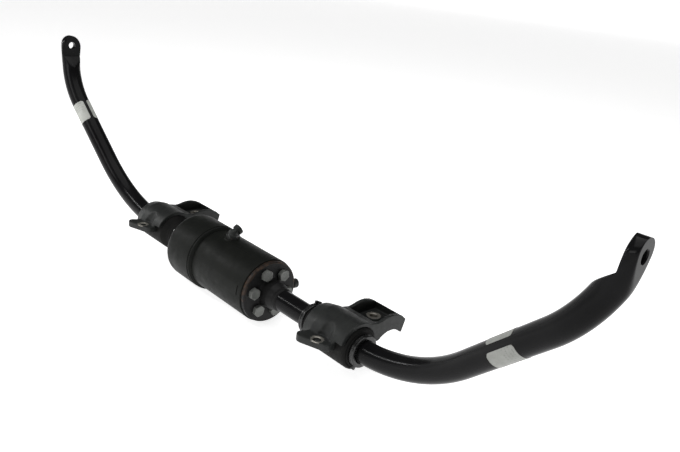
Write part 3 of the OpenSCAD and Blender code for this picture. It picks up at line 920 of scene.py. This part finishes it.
def output_flange():
    """Bolting flange with its pilot, holes, hub and the weld round the bar."""
    points = [(60, 0, 0), (60, 23.98, 0.8), (BODY_X1, 23.98, 0.2), (BODY_X1, FLANGE_R, 0.6),
              (FLANGE_X1, FLANGE_R, 1.6), (FLANGE_X1, HUB_R, 3), (89, HUB_R, 4), (99.5, 17.6, 1),
              (101, 18.2, 1), (103.5, 17.9, 1.2), (105.8, BAR_R + 0.3, 0.4), (105.8, BAR_R, 0),
              (71.9, BAR_R, 0), (71.9, 0, 0)]
    ob = turned("output_flange_forging", points, BODY_RIGHT, MAT["flange"],
                ("output_flange",), segments=TURNED_AROUND)
    r = BOLT_R + 0.25
    hole = [(60, 0, 0), (60, r, 0), (72.4, r, 0), (74, r + 1.6, 0), (74, 0, 0)]
    for i in range(BOLT_COUNT):
        combine(ob, tool(hole, bolt_place(i)), sharp=CUT_SHARP)


def bolt_mesh(place, turn):
    """Hexagon bolt with a chamfered, slightly dished head and a threaded shank. Each ring
    is (x, radius, whether the hexagon limits it)."""
    around, flat = 96, BOLT_AF / 2
    top = FLANGE_X1 + BOLT_HEAD_H
    pitch, root, crest, washer_r = 1.5, 4.3, 4.95, 8.0
    rings = [(BODY_X1 - 16, 4.0, 0)]
    x = BODY_X1 - 15
    while x < BODY_X1 - 1:
        rings += [(x, root, 0), (x + pitch * 0.4, crest, 0), (x + pitch * 0.6, crest, 0)]
        x += pitch
    rings += [(BODY_X1, crest, 0), (FLANGE_X1, crest, 0), (FLANGE_X1, washer_r, 0),
              (FLANGE_X1 + 0.5, washer_r, 0)]
    corner_r, chamfer, side_h = 11.4, 3.45, 4.4     # the head's corners are rounded off above
    heights = [0.5, 1.2, side_h] + [side_h + 2.0 * k / 8 for k in range(1, 9)]
    rings += [(FLANGE_X1 + z, corner_r - (z / BOLT_HEAD_H) ** 6 * chamfer, 1) for z in heights]
    rings += [(top, 6.6, 0), (top - 0.35, 5.6, 0), (top - 0.45, 0.0, 0)]
    verts, faces = [], []
    for x, r, hexagon in rings:
        for s in range(around):
            a = 2 * math.pi * s / around
            sector = (a + turn) % (math.pi / 3) - math.pi / 6
            reach = min(r, flat / math.cos(sector)) if hexagon else r
            verts.append(place @ Vector((x, reach * math.sin(a), reach * math.cos(a))))
    for k in range(len(rings) - 1):
        for s in range(around):
            t = (s + 1) % around
            faces.append((k * around + s, k * around + t,
                          (k + 1) * around + t, (k + 1) * around + s))
    faces.append(tuple(range(around)))
    return verts, faces


def flange_bolts():
    """The six bolts, tightened to different angles."""
    verts, faces = [], []
    for i in range(BOLT_COUNT):
        v, f = bolt_mesh(bolt_place(i), math.radians(11 * i))
        faces += [tuple(k + len(verts) for k in face) for face in f]
        verts += v
    ob = add_piece("hex_flange_bolts", verts, faces, BODY_RIGHT, MAT["bolt_steel"],
                   ("flange_bolts",), sharp=24)
    fix_normals(ob.data)


actuator_body()
end_housing()
output_flange()
flange_bolts()
for port in ("port_elbow", "port_fitting"):
    cast_skin(copy_node(f"{port}_forging", port, MAT["port_black"]), 0.3, 5, 0.4)

# ---- carried-over CAD nodes ----

replaced = {n for o in scene.objects if "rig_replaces" in o for n in o["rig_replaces"]}
slots = {s["node"]: s["material_slot"] for s in frame["record"]["subparts"]}
for node, ob in frame["nodes"].items():
    if node in replaced:
        continue
    material = MAT.get(slots[node], MAT["worn_steel"])
    ob.data.materials.clear()
    ob.data.materials.append(material)

# ---- floor, light and camera ----

FLOOR_GLOW = 0.8
WORLD_GLOW = 0.08


def area_light(name, place, target, size, power):
    """Rectangular lamp facing the target."""
    light = bpy.data.lights.new(name, "AREA")
    light.shape = "RECTANGLE"
    light.size, light.size_y = size
    light.energy = power
    lamp = bpy.data.objects.new(name, light)
    scene.collection.objects.link(lamp)
    lamp.location = place
    lamp.rotation_euler = (Vector(target) - Vector(place)).to_track_quat("-Z", "Y").to_euler()
    return lamp


def strip_light(start, end, width, target, power):
    """Long thin lamp from start to end, facing the target."""
    start, end, target = Vector(start), Vector(end), Vector(target)
    lamp = area_light("strip", (start + end) / 2, target, ((end - start).length, width), power)
    along = (end - start).normalized()
    back = (lamp.location - target).normalized()
    back = (back - along * back.dot(along)).normalized()
    turn = Matrix((along, back.cross(along), back)).transposed().to_4x4()
    lamp.matrix_world = Matrix.Translation(lamp.location) @ turn


def add_floor():
    """Pale round floor, just below the part, that curves up at its far edge."""
    gap, rise_at, rim, high = 0.5, 20000, 24000, 4000
    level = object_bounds()[0].z / MM - gap
    curve_steps, around = 12, 96
    curve = [(level + high * (1 - math.cos(a)), rise_at + (rim - rise_at) * math.sin(a))
             for a in (math.pi / 2 * k / curve_steps for k in range(curve_steps + 1))]
    outline = [(level, 0.0), (level, 600.0), (level, 4000.0)] + curve
    angles = [2 * math.pi * k / around for k in range(around)]
    verts = [Vector((r * math.cos(a), r * math.sin(a), z)) * MM
             for z, r in outline for a in angles]
    faces = [(i * around + k, i * around + (k + 1) % around,
              (i + 1) * around + (k + 1) % around, (i + 1) * around + k)
             for i in range(len(outline) - 1) for k in range(around)]
    mesh = bpy.data.meshes.new("floor")
    mesh.from_pydata(verts, [], faces)
    fix_normals(mesh)
    mesh.shade_smooth()
    floor = bpy.data.objects.new("floor", mesh)
    scene.collection.objects.link(floor)
    n = Nodes("floor_paper")
    n.colour(n.ramp(n.noise(3), [(0.3, (0.86, 0.86, 0.86)), (0.8, (0.9, 0.9, 0.9))]))
    n.rough(0.9)
    n.bsdf.inputs["Emission Color"].default_value = (1, 1, 1, 1)
    n.bsdf.inputs["Emission Strength"].default_value = FLOOR_GLOW
    floor.data.materials.append(n.mat)


def studio():
    """White surroundings, a soft lamp overhead, a weak one in front and a strip for the
    long highlights on the bar."""
    scene.view_settings.view_transform = "Standard"
    world = bpy.data.worlds.new("studio")
    scene.world = world
    world.use_nodes = True
    background = world.node_tree.nodes["Background"]
    background.inputs["Color"].default_value = (1, 1, 1, 1)
    background.inputs["Strength"].default_value = WORLD_GLOW
    area_light("overhead", (0.1, 0.0, 2.6), (0, 0, 0), (3.2, 2.4), 40)
    area_light("front", (-0.2, -1.9, 1.0), (0, 0, 0), (1.4, 0.5), 8)
    strip_light((-0.90, -0.92, 1.04), (-1.31, -0.57, 0.43), 0.05, (0.3, 0, 0), 5)


def camera():
    """In front of the right arm and above it, looking across towards the left clamp."""
    place = (769.79, JOINT_Y - 596.85, 450.84)
    heading, pitch, roll = 133.771, -20.023, 7.612         # degrees from +X, from level, leaning
    data = bpy.data.cameras.new("camera")
    data.sensor_width = 36.0
    data.lens = 36.105
    data.clip_end = 100
    cam = bpy.data.objects.new("camera", data)
    scene.collection.objects.link(cam)
    turn = (Matrix.Rotation(math.radians(heading - 90), 4, "Z")
            @ Matrix.Rotation(math.radians(90 + pitch), 4, "X")
            @ Matrix.Rotation(math.radians(roll), 4, "Z"))
    cam.matrix_world = Matrix.Translation(Vector(place) * MM) @ turn
    scene.camera = cam


add_floor()
studio()
camera()
